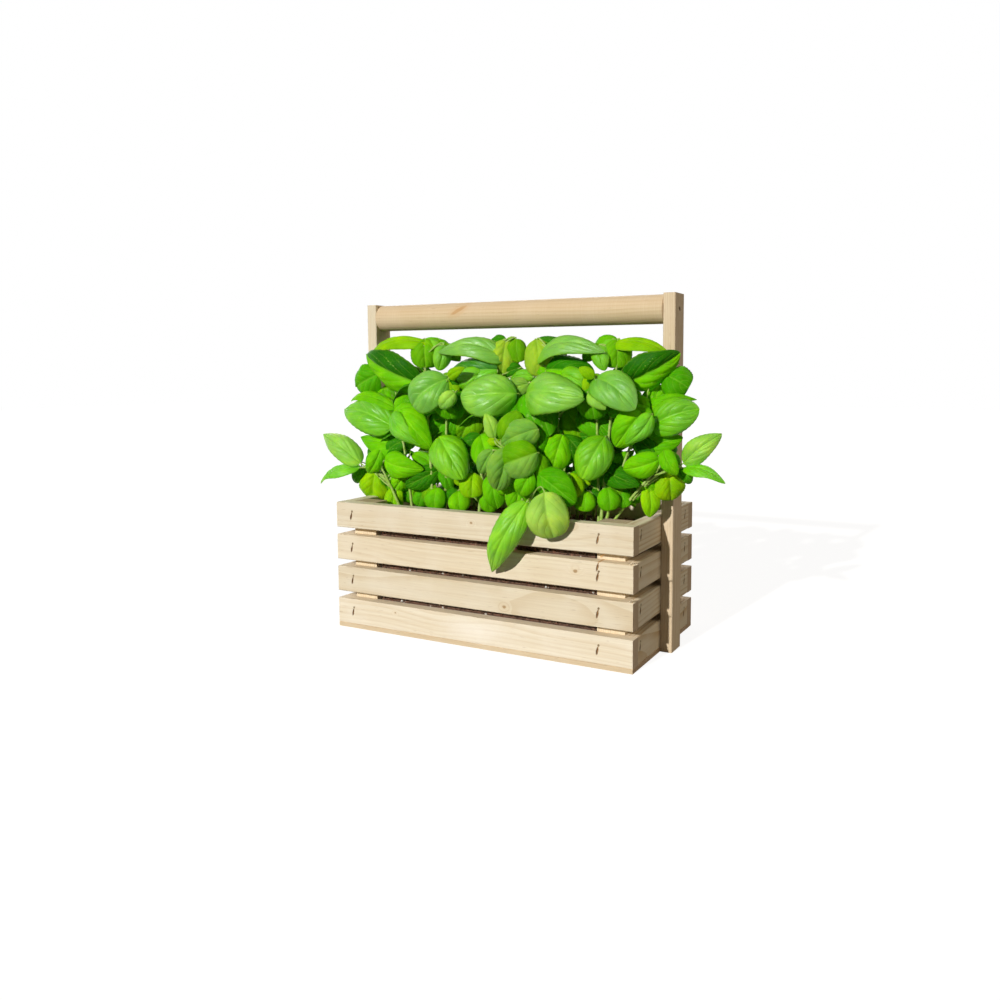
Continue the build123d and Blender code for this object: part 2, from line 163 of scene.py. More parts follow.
def pine(
    name, grain, pith, ring_gap, tint, shift, knots=(), scars=(),
    contrast=plain_contrast, gloss=0.66, turned=0.0,
):
    g = Graph(name)
    place = g.split(g.here())
    first, second, grain_way = (place[axis] for axis in across_order[grain])
    along = g.math("ADD", grain_way, shift)
    wander = g.noise(g.join(0.0, shift, g.math("MULTIPLY", along, 5.0)), detail=1.0)
    wave = g.noise(stretched(g, first, second, along, 22.0, 4.0))
    a = g.math("SUBTRACT", first, pith[0])
    b = g.math("SUBTRACT", second, pith[1])
    a = g.math("ADD", a, g.math("MULTIPLY", g.math("SUBTRACT", wander, 0.5), ring_wander))
    radius = g.math("ADD", g.length(g.join(a, b, 0.0)), g.math("MULTIPLY", wave, ring_wave))
    ragged = g.math("MULTIPLY", g.math("SUBTRACT", g.noise(g.here(), 400.0), 0.5), 0.5)
    knot_mask = 0.0
    knot_edge = 0.0
    for knot_along, knot_second, knot_radius in knots:
        east = g.math("DIVIDE", g.math("SUBTRACT", grain_way, knot_along), knot_radius * knot_stretch)
        north = g.math("DIVIDE", g.math("SUBTRACT", second, knot_second), knot_radius)
        far = g.math("ADD", g.length(g.join(east, north, 0.0)), ragged)
        radius = g.math("ADD", radius, g.spread(far, 0.4, 4.5, knot_swell, 0.0))
        knot_mask = g.math("MAXIMUM", knot_mask, g.spread(far, 0.55, 1.1, 1.0, 0.0))
        knot_edge = g.math("MAXIMUM", knot_edge, g.spread(far, 0.9, 3.0, 0.45, 0.0))
    ring = g.math("FRACT", g.math("DIVIDE", radius, ring_gap))
    late = g.math("MULTIPLY", g.spread(ring, 0.35, 0.93), g.spread(ring, 0.95, 1.0, 1.0, 0.0))
    ring_weight = g.noise(g.join(g.math("MULTIPLY", radius, 90.0), shift, 0.0), detail=1.0)
    late = g.math("MULTIPLY", late, g.spread(ring_weight, 0.3, 0.7, 0.35, 1.0))
    fibre = g.noise(stretched(g, first, second, along, 900.0, 18.0), detail=3.0, roughness=0.65)
    streak = g.noise(stretched(g, first, second, along, 160.0, 5.0), detail=2.0)
    fleck = g.spread(g.noise(stretched(g, first, second, along, 800.0, 90.0), detail=1.0), 0.68, 0.76)
    blotch = g.noise(g.here(), 26.0, detail=3.0)
    colour = g.mix(g.math("MULTIPLY", late, contrast), early_wood, late_wood)
    colour = g.mix(g.spread(streak, 0.3, 0.75, 0.0, 0.28), colour, streak_wood)
    colour = g.mix(g.spread(blotch, 0.4, 0.75, 0.0, 0.4), colour, pale_wood)
    colour = g.mix(g.spread(fibre, 0.35, 0.7, 0.12, 0.0), colour, fibre_wood)
    colour = g.mix(g.math("MULTIPLY", fleck, 0.22), colour, fleck_wood)
    colour = g.mix(g.math("MULTIPLY", knot_edge, 0.5), colour, halo_wood)
    colour = g.mix(knot_mask, colour, knot_wood)
    height = g.math("ADD", g.math("MULTIPLY", fibre, 0.6), g.math("MULTIPLY", late, 0.35))
    if turned:
        lathe = g.noise(g.join(g.math("MULTIPLY", along, 700.0), 0.0, 0.0), detail=2.0)
        colour = g.mix(g.spread(lathe, 0.4, 0.7, turned, 0.0), colour, streak_wood)
        height = g.math("ADD", height, g.math("MULTIPLY", lathe, 0.8))
    for scar_along, scar_second, half_across, half_long, lean, stain, strength in scars:
        east = g.math("SUBTRACT", grain_way, scar_along)
        north = g.math("SUBTRACT", second, scar_second)
        cross = g.math("SUBTRACT", g.math("MULTIPLY", east, cos(lean)), g.math("MULTIPLY", north, sin(lean)))
        down = g.math("ADD", g.math("MULTIPLY", east, sin(lean)), g.math("MULTIPLY", north, cos(lean)))
        far = g.length(g.join(g.math("DIVIDE", cross, half_across), g.math("DIVIDE", down, half_long), 0.0))
        colour = g.mix(g.spread(g.math("ADD", far, ragged), 0.6, 1.15, strength, 0.0), colour, stain)
    facing = g.split(g.add("ShaderNodeTexCoord").outputs["Normal"])[grain]
    end_grain = g.spread(g.math("ABSOLUTE", facing), 0.6, 0.8)
    colour = g.mix(end_grain, colour, g.mix(1.0, colour, end_wood, blend="MULTIPLY"))
    colour = g.mix(1.0, colour, tint, blend="MULTIPLY")
    g.bump(height, wood_relief, 0.5)
    rough = g.spread(fibre, 0.3, 0.7, gloss - 0.08, gloss + 0.1)
    return g.finish(Base_Color=colour, Roughness=rough, Specular_IOR_Level=0.12)


def dress(node, material):
    piece = parts[node]
    piece.data.materials.clear()
    piece.data.materials.append(material)


# Knots are given along the grain and up the face, in metres
front_knots = {
    4: ((-0.001, 0.1288, 1.3 * MM),),
    3: ((0.1156, 0.0918, 2.0 * MM),),
    2: ((0.037, 0.0471, 1.8 * MM),),
    1: ((-0.098, 0.024, 0.9 * MM),),
}
# A scar: its place along the grain and across it, half sizes, lean, colour and strength
# Dark marks over the staple slots and leg holes: partly stain in the wood, partly painted shade in the
# sunken slot and hole
slot_stain_and_shade = (0.15, 0.06, 0.015, 1)
leg_stain_and_shade = (0.17, 0.11, 0.04, 1)
stray_stain = (0.62, 0.37, 0.14, 1)
staple_lean = radians(12)
slot_offset = (-0.3 * MM, -1.2 * MM)
slot_half = (1.35 * MM, 4.1 * MM)
leg_offset = (1.1 * MM, 4.6 * MM)
leg_half = (1.3 * MM, 1.3 * MM)


def staple_scars(places, leg=leg_stain_and_shade):
    scars = []
    for along, up in places:
        slot = (along + slot_offset[0], up + slot_offset[1])
        hole = (along + leg_offset[0], up + leg_offset[1])
        scars.append((*slot, *slot_half, staple_lean, slot_stain_and_shade, 0.95))
        scars.append((*hole, *leg_half, staple_lean, leg, 0.9))
    return scars


# Each board is sawn round its own pith line and has its own shade
wood_draw = np.random.default_rng(11)
pith_far = (0.030, 0.062)
pith_near = (-0.022, 0.022)
shades = (0.97, 1.03)
warmths = (0.97, 1.01)
grain_shifts = (-3.0, 3.0)
slat_rings = (2.1, 3.0)
end_rings = (3.4, 4.6)


# dye_and_painted_light multiplies a board's colour: the right upright's own darker colour, and painted light
# on front slats 1 and 4
def slat_pine(
    node, grain, depth, middle, knots=(), scars=(), contrast=plain_contrast,
    ring_gaps=slat_rings, dye_and_painted_light=(1, 1, 1), quartered=False,
):
    far = wood_draw.uniform(*pith_far) * wood_draw.choice((-1, 1))
    near = wood_draw.uniform(*pith_near)
    pith = (depth + near, middle + far) if quartered else (depth + far, middle + near)
    shade = wood_draw.uniform(*shades)
    warm = wood_draw.uniform(*warmths)
    tint = (shade * dye_and_painted_light[0], shade * warm * dye_and_painted_light[1], shade * warm * warm * dye_and_painted_light[2], 1)
    shift = wood_draw.uniform(*grain_shifts)
    gap = wood_draw.uniform(*ring_gaps) * MM
    dress(node, pine(f"pine_{node}", grain, pith, gap, tint, shift, knots, scars, contrast))


long_staples = (-0.155, 0.139)
end_staples = (-0.067, 0.061)
end_staple_rise = 3 * MM
second_staple_level = 3
second_staple_rise = 9.5 * MM
# A painted highlight: rings of pale colour in the middle of front slat 1 stand in for a soft glare
glare_level = 1
glare_place = (-0.001, 0.018)
glare_reaches = (16, 26, 36, 48)
painted_glare = (0.97, 0.90, 0.77, 1)
painted_glare_patch = [
    (*glare_place, reach * MM, reach * MM / 3, 0.0, painted_glare, 0.15)
    for reach in glare_reaches
]
# Front slats 1 and 4 are brightened and whitened all over: painted light
front_painted_light = {1: (1.07, 1.10, 1.16), 2: (1, 1, 1), 3: (1, 1, 1), 4: (1.02, 1.05, 1.08)}
end_wall_x = 0.17
for level in range(1, 5):
    low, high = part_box(f"front_slat_{level}")
    middle = (low.z + high.z) / 2
    long_scars = staple_scars([(along, middle) for along in long_staples])
    end_scars = staple_scars([(along, middle + end_staple_rise) for along in end_staples])
    slat_pine(f"back_slat_{level}", "X", high.y, middle, scars=long_scars)
    front_scars = list(long_scars)
    if level == second_staple_level:
        second_place = (long_staples[1], middle + second_staple_rise)
        front_scars += staple_scars([second_place], stray_stain)
    if level == glare_level:
        front_scars += painted_glare_patch
    slat_pine(
        f"front_slat_{level}", "X", low.y, middle, front_knots[level], front_scars, dye_and_painted_light=front_painted_light[level],
    )
    for wall in ("left", "right"):
        slat_pine(
            f"{wall}_end_slat_{level}", "Y", end_wall_x, middle, scars=end_scars,
            contrast=1.0, ring_gaps=end_rings, quartered=level % 2 == 0,
        )
upright_x = 0.18
upright_contrast = 0.6
upright_dye = (0.90, 0.84, 0.79)
# A thin dark line runs down the left upright's inner face under the dowel
dark_line = (0.325, 8 * MM, 0.5 * MM, 0.035, radians(90), fleck_wood, 0.8)
slat_pine("left_upright", "Z", -upright_x, 0.0, scars=(dark_line,), contrast=upright_contrast)
slat_pine("right_upright", "Z", upright_x, 0.0, contrast=upright_contrast, dye_and_painted_light=upright_dye)
for post in ("front_left_post", "front_right_post", "back_left_post", "back_right_post"):
    low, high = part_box(post)
    slat_pine(post, "Z", (low.x + high.x) / 2, (low.y + high.y) / 2)
dowel_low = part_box("handle_dowel")[0]
dowel_pith = (-0.012, dowel_low.z + 0.004)
dowel_tint = (0.90, 0.81, 0.71, 1)
branch_place = (-0.0615, 0.3475)
branch_lean = radians(63)
branch_streak = (*branch_place, 2.4 * MM, 10.5 * MM, branch_lean, (0.60, 0.34, 0.13, 1), 0.6)
branch_halo = (*branch_place, 7 * MM, 16 * MM, branch_lean, (0.74, 0.52, 0.29, 1), 0.35)
turned_dowel = pine(
    "turned_dowel", "X", dowel_pith, 3.4 * MM, dowel_tint, 0.4,
    scars=(branch_halo, branch_streak), gloss=0.55, turned=0.3,
)
dress("handle_dowel", turned_dowel)
base_pith = (0.0, -0.3)
base_tint = (0.94, 0.87, 0.79, 1)
dress("base_sheet", pine("thin_base", "X", base_pith, 0.9 * MM, base_tint, 1.7))


# Torn fibres stand up at the right corners of two front slats
fibre_count = 14
fibre_half = 0.5 * MM


def torn_fibres(level, seed):
    draw = np.random.default_rng(seed)
    low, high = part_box(f"front_slat_{level}")
    corner = np.array((high.x, low.y, high.z))
    points = []
    faces = []
    for number in range(fibre_count):
        foot = corner + draw.uniform((-7, 0.5, -0.6), (-0.5, 5, -0.4)) * MM
        way = draw.uniform((0.3, -0.7, 0.25), (1.0, 0.1, 0.8))
        tip = foot + way * draw.uniform(4, 9) * MM
        first = 5 * number
        for east, north in square:
            points.append(foot + np.array((0, east, north)) * fibre_half)
        points.append(tip)
        faces.append((first + 3, first + 2, first + 1, first))
        for side in range(4):
            faces.append((first + side, first + (side + 1) % 4, first + 4))
    wood = parts[f"front_slat_{level}"].data.materials[0]
    tuft = new_piece(f"torn_fibres_{level}", points, faces, [wood], smooth=False)
    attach(tuft, "crate")


torn_fibres(3, 51)
torn_fibres(2, 52)


# Dulled wire, brighter where a stray staple stands in the gap under the top slat, and plated screws
gap_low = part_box("front_slat_3")[1].z
gap_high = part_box("front_slat_4")[0].z
wire_bright = (0.55, 0.32, 0.12, 1)
wire_dull = (0.24, 0.12, 0.045, 1)
wire_stray = (0.85, 0.56, 0.26, 1)
screw_bright = (0.11, 0.095, 0.08, 1)
screw_dull = (0.05, 0.04, 0.03, 1)


def worn_metal(name, bright, dull, roughness, proud_colour=None):
    g = Graph(name)
    stain = g.noise(g.here(), 900.0, detail=3.0)
    colour = g.mix(g.spread(stain, 0.35, 0.65), bright, dull)
    if proud_colour:
        height = g.split(g.here())["Z"]
        above = g.spread(height, gap_low - 0.6 * MM, gap_low + 0.2 * MM)
        below = g.spread(height, gap_high - 0.2 * MM, gap_high + 0.6 * MM, 1.0, 0.0)
        colour = g.mix(g.math("MULTIPLY", above, below), colour, proud_colour)
    g.bump(stain, 0.1 * MM, 0.4)
    rough = g.spread(stain, 0.3, 0.7, roughness, roughness + 0.2)
    return g.finish(Base_Color=colour, Metallic=0.55, Roughness=rough)


staple_wire = worn_metal("staple_wire", wire_bright, wire_dull, 0.42, wire_stray)
screw_steel = worn_metal("screw_steel", screw_bright, screw_dull, 0.5)
for group in ("front_staples", "back_staples", "left_staples", "right_staples", "base_staples"):
    dress(group, staple_wire)
for group in ("handle_screws", "upright_screws"):
    dress(group, screw_steel)


# Clear film, faintly creased
film_tint = (0.30, 0.22, 0.16, 1)
film_cover = 0.04


def clear_film():
    g = Graph("clear_film")
    crease = g.noise(g.here(), 60.0, detail=4.0)
    g.bump(crease, 0.8 * MM, 0.5)
    rough = g.spread(crease, 0.3, 0.7, 0.2, 0.42)
    return g.finish(Base_Color=film_tint, Roughness=rough, Specular_IOR_Level=0.2, Alpha=film_cover)


dress("liner", clear_film())


# Basil leaf: blade holds the place across and along the leaf, tone its colour and, in alpha, its upper side
vein_count = 3.6
vein_sweep = 0.68
vein_bow = 1.5
leaf_light = (1.45, 1.18, 1.0, 1)
leaf_deep = (0.03, 0.26, 0.0005, 1)
leaf_vein = (0.48, 0.80, 0.08, 1)
leaf_under = (0.36, 0.62, 0.14, 1)
stem_green = (0.30, 0.50, 0.06, 1)
stem_pale = (0.46, 0.62, 0.18, 1)


def leaf_blade(name, sheen, roughness):
    g = Graph(name)
    tone = g.add("ShaderNodeAttribute", attribute_name="tone")
    blade = g.split(g.add("ShaderNodeAttribute", attribute_name="blade").outputs["Vector"])
    across = g.math("ABSOLUTE", blade[0])
    along = blade[1]
    swept = g.math("MULTIPLY", g.math("POWER", across, vein_bow), vein_sweep)
    vein_step = g.math("FRACT", g.math("MULTIPLY", g.math("SUBTRACT", along, swept), vein_count))
    vein_far = g.math("ABSOLUTE", g.math("SUBTRACT", vein_step, 0.5))
    vein_fade = g.spread(across, 0.55, 0.98, 1.0, 0.1)
    vein = g.math("MULTIPLY", g.spread(vein_far, 0.0, 0.11, 1.0, 0.0), vein_fade)
    midrib = g.spread(across, 0.01, 0.09, 1.0, 0.0)
    ribs = g.math("MAXIMUM", midrib, g.math("MULTIPLY", vein, 0.75))
    net_place = g.join(g.math("MULTIPLY", blade[0], 9.0), g.math("MULTIPLY", along, 16.0), blade[2])
    net = g.add("ShaderNodeTexVoronoi", {"Vector": net_place, "Scale": 1.6}, feature="DISTANCE_TO_EDGE")
    cell = g.spread(net.outputs["Distance"], 0.0, 0.12)
    patch = g.noise(g.here(), 70.0, detail=3.0)
    shade = g.noise(g.here(), 34.0, detail=2.0)
    fine = g.noise(g.here(), 900.0, detail=2.0)
    colour = g.mix(g.spread(shade, 0.32, 0.56, 0.22, 0.0), tone.outputs["Color"], leaf_deep)
    colour = g.mix(g.spread(patch, 0.4, 0.75), colour, leaf_light, blend="MULTIPLY")
    colour = g.mix(g.spread(cell, 0.0, 1.0, 0.05, 0.0), colour, leaf_vein)
    vein_colour = g.mix(0.4, colour, leaf_vein)
    colour = g.mix(g.math("MULTIPLY", ribs, 0.42), colour, vein_colour)
    colour = g.mix(g.spread(across, 0.9, 1.0, 0.0, 0.45), colour, vein_colour)
    colour = g.mix(tone.outputs["Alpha"], g.mix(0.4, colour, leaf_under), colour)
    sunk = g.math("MULTIPLY", ribs, -0.8)
    height = g.math("ADD", g.math("ADD", sunk, g.math("MULTIPLY", cell, 0.2)), g.math("MULTIPLY", fine, 0.1))
    g.bump(height, 0.55 * MM, 0.7)
    rough = g.spread(patch, 0.3, 0.7, roughness - 0.05, roughness + 0.08)
    g.shader.subsurface_method = "RANDOM_WALK"
    return g.finish(
        Base_Color=colour, Roughness=rough, Specular_IOR_Level=sheen,
        Subsurface_Weight=0.45, Subsurface_Radius=(0.7, 1.0, 0.1), Subsurface_Scale=0.8 * MM,
    )


def green_stem():
    g = Graph("basil_stem")
    streak = g.noise(g.here(), 260.0, detail=2.0)
    colour = g.mix(g.spread(streak, 0.3, 0.7), stem_green, stem_pale)
    g.bump(streak, 0.2 * MM, 0.5)
    return g.finish(
        Base_Color=colour, Roughness=0.45, Specular_IOR_Level=0.2,
        Subsurface_Weight=0.15, Subsurface_Radius=(0.5, 1.0, 0.2), Subsurface_Scale=1.0 * MM,
    )


leaf_materials = [
    leaf_blade("shiny_leaf", 0.75, 0.42),
    leaf_blade("glossy_leaf", 0.36, 0.36),
    leaf_blade("matt_leaf", 0.04, 0.42),
    green_stem(),
]
shiny, glossy, matt, stalk = range(4)
# A tone: the colour of a leaf's upper side and the material it has
tones = {
    "bright": ((0.165, 0.57, 0.001), glossy),
    "young": ((0.23, 0.62, 0.012), glossy),
    "lime": ((0.28, 0.62, 0.0005), matt),
    "pale": ((0.31, 0.66, 0.06), glossy),
    "sheer": ((0.145, 0.46, 0.01), shiny),
    "milky": ((0.20, 0.57, 0.014), shiny),
    "fresh": ((0.15, 0.56, 0.0005), matt),
    "mid": ((0.08, 0.41, 0.0005), matt),
    "deep": ((0.026, 0.22, 0.0005), matt),
    # dark is painted shade, used only on the shaded half of a folded leaf
    "dark": ((0.010, 0.13, 0.0003), matt),
    "olive": ((0.14, 0.44, 0.001), matt),
    "dull": ((0.29, 0.52, 0.03), matt),
    "grey": ((0.19, 0.46, 0.06), matt),
    "soft": ((0.36, 0.70, 0.10), matt),
}


def unit(vector):
    return vector / np.linalg.norm(vector)


def outer_ring(number):
    return np.concatenate([number[0, :], number[1:, -1], number[-1, -2::-1], number[-2:0:-1, 0]])


# The shape of a leaf: sizes in metres, angles in radians, and shares of its length or width
leaf_thickness = 0.35 * MM
thinnest_half = 0.2 * MM
fine_length = 26 * MM
full_puff = 50 * MM
fine_grid = (33, 21)
plain_grid = (17, 11)
base_round = 0.44
blunt_limits = (0.38, 0.85)
tooth = 0.014
leaf_roll = 0.24
leaf_bend = 0.05
leaf_twist = 0.14
leaf_crown = (0.10, 0.18)
leaf_waves = (7, 12)
leaf_ripple = (0.03, 0.06)
leaf_puff = 0.045
leaf_fold = (-0.06, 0.2)
leaf_dome = 0.12
edge_droop = 0.36
leaf_curl = 0.16
curl_start = 0.6
painted_half_seam = 0.12


class Foliage:
    def __init__(self, seed, hand):
        self.hand = hand
        self.points = []
        self.faces = []
        self.tone = []
        self.blade = []
        self.kind = []
        self.count = 0
        self.draw = np.random.default_rng(seed)

    def grid(self, sheet, closed_across, kind):
        rows, columns = sheet.shape[:2]
        number = np.arange(rows * columns).reshape(rows, columns) + self.count
        self.points.append(sheet.reshape(-1, 3))
        self.count += rows * columns
        if closed_across:
            number = np.hstack([number, number[:, :1]])
        corners = [number[:-1, :-1], number[:-1, 1:], number[1:, 1:], number[1:, :-1]]
        quads = np.stack(corners, -1).reshape(-1, 4)
        self.faces += quads.tolist()
        self.kind += [kind] * len(quads)
        return number

    def leaf(self, base, tip, width, facing, tone, painted_half_tone, fine):
        midrib = tip - base
        length = np.linalg.norm(midrib)
        forward = midrib / length
        up = unit(facing - forward * np.dot(facing, forward))
        roll = self.draw.uniform(-leaf_roll, leaf_roll) * self.hand
        up = up * cos(roll) + np.cross(forward, up) * sin(roll)
        across = np.cross(forward, up)
        rows, columns = fine_grid if fine and length > fine_length else plain_grid
        v = (1 - np.cos(np.linspace(0, pi, rows)))[:, None] / 2
        u = np.linspace(-1.0, 1.0, columns)[None, :]
        side = np.abs(u)
        blunt = np.clip(1.25 - 0.95 * width / length, *blunt_limits)
        widest = base_round / (base_round + blunt)
        outline = (v / widest) ** base_round * ((1 - v) / (1 - widest)) ** blunt
        half = np.maximum(width / 2 * outline, thinnest_half)
        zigzag = np.where(np.arange(rows) % 2, 1, -1)[:, None]
        teeth = 1 + tooth * zigzag * (v > 0.15) * (v < 0.95)
        out = u * half * teeth
        bend = self.draw.uniform(-leaf_bend, leaf_bend) * self.hand * length * np.sin(pi * v)
        twist = self.draw.uniform(-leaf_twist, leaf_twist) * self.hand * (v - 0.5) * 2
        crown = self.draw.uniform(*leaf_crown) * length * np.sin(pi * v ** 0.9)
        phase = v * self.draw.uniform(*leaf_waves) + self.draw.uniform(0, 6)
        wave = np.sin(phase + 1.7 * (u * self.hand > 0))
        ripple = self.draw.uniform(*leaf_ripple) * width * wave * side ** 2
        vein = (v - vein_sweep * side ** vein_bow) * vein_count
        furrow = np.sin(pi * (vein + 0.5)) ** 2
        puff = leaf_puff * min(1.0, length / full_puff) ** 1.5
        between = np.sin(pi * side ** 0.8).clip(0) ** 0.8 * np.sin(pi * v).clip(0) ** 0.5
        pillow = puff * width * furrow * between
        fold = self.draw.uniform(*leaf_fold) * np.abs(out)
        dome = leaf_dome * half * np.sin(pi * side ** 0.8) - edge_droop * half * side ** 2.2 + fold
        curled = (np.maximum(v - curl_start, 0) / (1 - curl_start)) ** 2
        tip_curl = self.draw.uniform(0.0, leaf_curl) * length * curled
        lift = crown + dome + pillow + ripple + twist * out - tip_curl
        sheet = base + midrib * v[..., None] + across * (out + bend)[..., None] + up * lift[..., None]
        normal = np.cross(np.gradient(sheet, axis=1), np.gradient(sheet, axis=0))
        size = np.linalg.norm(normal, axis=-1, keepdims=True)
        normal = np.where(size > 1e-12, normal / np.maximum(size, 1e-12), up)
        normal = normal * np.where(np.sum(normal * up, axis=-1, keepdims=True) < 0, -1, 1)
        colour, kind = tones[tone]
        top = self.grid(sheet, False, kind)
        bottom = self.grid((sheet - normal * leaf_thickness)[:, ::-1], False, kind)[:, ::-1]
        rim = outer_ring(top)
        under = outer_ring(bottom)
        strip = np.stack([rim, under, np.roll(under, -1), np.roll(rim, -1)], -1)
        self.faces += strip.tolist()
        self.kind += [kind] * len(strip)
        # One half of the leaf takes the second tone: painted light and shade on a folded leaf
        share = np.clip(u / painted_half_seam + 0.5, 0, 1)[..., None]
        blend = np.array(colour) * (1 - share) + np.array(tones[painted_half_tone][0]) * share
        shade = self.draw.uniform(0.92, 1.08) * (1.08 - 0.16 * v)[..., None]
        blend = blend * shade * (self.draw.uniform(0.92, 1.1), 1, 1)
        place = np.stack(np.broadcast_arrays(u, v, np.full_like(u * v, self.draw.uniform(0, 50))), -1)
        for upper, spots, stain in ((1.0, place, blend), (0.0, place[:, ::-1], blend[:, ::-1])):
            self.blade.append(spots.reshape(-1, 3))
            self.tone.append(np.hstack([stain.reshape(-1, 3), np.full((rows * columns, 1), upper)]))

    def tube(self, path, radii, sides=8):
        path = np.array(path)
        tangent = np.gradient(path, axis=0)
        tangent /= np.linalg.norm(tangent, axis=1, keepdims=True)
        other = np.array((0.31, 0.87, 0.12))
        east = np.cross(tangent, other)
        east /= np.linalg.norm(east, axis=1, keepdims=True)
        north = np.cross(tangent, east)
        turn = np.linspace(0, 2 * pi, sides, endpoint=False)
        ring = east[:, None] * np.cos(turn)[None, :, None] + north[:, None] * np.sin(turn)[None, :, None]
        sheet = path[:, None] + ring * np.array(radii)[:, None, None]
        number = self.grid(sheet, True, stalk)
        self.faces += [number[0, :-1][::-1].tolist(), number[-1, :-1].tolist()]
        self.kind += [stalk, stalk]
        self.blade.append(np.zeros((sheet.shape[0] * sides, 3)))
        self.tone.append(np.ones((sheet.shape[0] * sides, 4)))

    def piece(self, name):
        made = new_piece(name, np.vstack(self.points), self.faces, leaf_materials, self.kind)
        mesh = made.data
        tone = mesh.attributes.new("tone", "FLOAT_COLOR", "POINT")
        tone.data.foreach_set("color", np.vstack(self.tone).ravel())
        blade = mesh.attributes.new("blade", "FLOAT_VECTOR", "POINT")
        blade.data.foreach_set("vector", np.vstack(self.blade).ravel())
        return made


# Foliage is laid out as seen from in front and to the right, in millimetres above the soil
soil_low, soil_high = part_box("soil")
slat_low, slat_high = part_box("front_slat_4")
soil_top = soil_high.z / MM
handle_lane = 18.0
slat_thickness = (slat_high.y - slat_low.y) / MM
half_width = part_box("base_sheet")[1].y / MM
row_depth = (handle_lane + half_width - slat_thickness) / 2
root_inset = 7.2
bed_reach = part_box("front_right_post")[0].x / MM - root_inset
sight_turn = radians(26.1)
sight_point = np.array((461, -798, soil_top + 161))
to_eye = np.array((sin(sight_turn), -cos(sight_turn), 0))
overhead = np.array((0, 0, 1.0))
mirror_across = 8.4
lane_gap = 5.0


def seen(across, height, depth):
    on_plane = np.array((across * cos(sight_turn), across * sin(sight_turn), soil_top + height))
    reach = (depth - sight_point[1]) / (on_plane[1] - sight_point[1])
    return sight_point + (on_plane - sight_point) * reach, reach


def facing_up(turn):
    return to_eye * cos(radians(turn)) + overhead * sin(radians(turn))


# A leaf row: across and height of its base, then of its tip, width, depth of each, turn upwards, tone; a
# tone written first/second gives the second tone to one half of the leaf, as painted light and shade on a
# folded leaf
side_leaves = (
    (-89, 191, -162, 178, 24, 14, 16, 66, "lime"),
    (-95, 197, -95, 166, 32, 16, 6, 0, "olive"),
    (-91, 196, -79, 174, 18, 18, 14, 30, "bright"),
    (-102, 149, -163, 180, 42, 4, 12, -15, "fresh/dark"),
    (-146, 159, -172, 145, 38, 16, 14, 0, "mid"),
    (-115, 136, -125, 114, 20, 2, -4, 0, "fresh"),
    (-132, 102, -184, 122, 41, 2, 8, 10, "bright"),
    (-128, 122, -180, 134, 18, 8, 14, 20, "fresh"),
    (-114, 77, -167, 90, 30, 8, 12, 25, "fresh"),
    (-141, 71, -164, 59, 22, 0, 8, 0, "mid"),
    (-168, 62, -209, 94, 27, 4, 6, 0, "pale"),
    (-169, 57, -214, 43, 24, 4, -3, 60, "bright"),
    (-152, 52, -155, 21, 36, 14, 18, 0, "lime"),
    (-166, 57, -177, 40, 15, 12, 14, 0, "mid"),
    (-141, 66, -102, 55, 29, -4, -14, 0, "fresh"),
    (-124, 120, -94, 80, 36, -8, -22, 0, "fresh"),
    (-133, 115, -106, 83, 23, -14, -28, 0, "bright"),
    (-71, 154, -112, 127, 45, -12, -34, 12, "sheer"),
    (-67, 158, -64, 134, 18, -8, -14, 0, "lime"),
    (-64, 139, -81, 122, 18, -26, -32, 0, "pale"),
    (-56, 124, -90, 92, 38, 14, 4, 0, "mid"),
    (-82, 124, -93, 86, 24, 18, 10, 0, "deep"),
    (-40, 122, -60, 86, 34, 18, 8, 0, "olive"),
    (-82, 91, -57, 45, 41, -14, -32, 8, "bright"),
    (-36, 93, -24, 54, 34, -6, -18, 0, "fresh"),
    (3, 138, -58, 134, 50, -10, -34, 18, "milky"),
    (-10, 176, -82, 182, 34, 10, -4, 46, "sheer"),
    (-18, 164, -70, 161, 37, 2, 6, 5, "bright/deep"),
    (-75, 190, -81, 163, 20, 4, -4, 0, "bright"),
    (-70, 155, -54, 166, 13, -20, -26, 0, "lime"),
    (-13, 88, -31, 83, 12, -10, -16, 0, "lime"),
    (-82, 55, -120, 37, 26, 4, -10, 0, "deep"),
    (-78, 57, -70, 32, 18, 6, 0, 0, "mid"),
    (-85, 35, -88, 11, 26, -10, -18, 0, "fresh"),
    (-62, 31, -60, 9, 25, -12, -20, 0, "fresh"),
    (-45, 51, -47, 25, 28, -14, -26, 0, "lime"),
    (-27, 33, -27, 8, 22, -8, -14, 0, "fresh"),
    (-130, 36, -132, 2, 22, 6, 4, 0, "lime"),
    (-99, 33, -106, 14, 20, 0, -4, 0, "mid"),
    (-8, 196, -13, 158, 36, 16, 8, 0, "dull"),
    (-44, 92, -74, 94, 17, 16, 10, 0, "deep"),
    (-146, 76, -160, 50, 20, -4, -10, 0, "fresh"),
    (-68, 68, -88, 46, 24, 18, 12, 0, "deep"),
    (-54, 46, -66, 40, 12, -6, -10, 0, "lime"),
    (-58, 34, -72, 18, 16, 14, 10, 0, "deep"),
    (-6, 106, -34, 92, 20, 8, 2, 0, "olive"),
    (-30, 58, -50, 46, 15, 10, 6, 0, "deep"),
    (-112, 62, -92, 34, 22, 16, 12, 0, "deep"),
    (-128, 58, -146, 38, 18, 14, 10, 0, "mid"),
    (-40, 150, -24, 122, 24, 16, 10, 0, "mid"),
    (-104, 166, -88, 134, 26, 18, 14, 0, "mid"),
    (-134, 110, -150, 96, 20, 12, 8, 0, "mid"),
    (-34, 160, -66, 146, 24, -4, -10, 0, "bright"),
    (-118, 54, -136, 28, 24, 8, 6, 0, "fresh"),
)
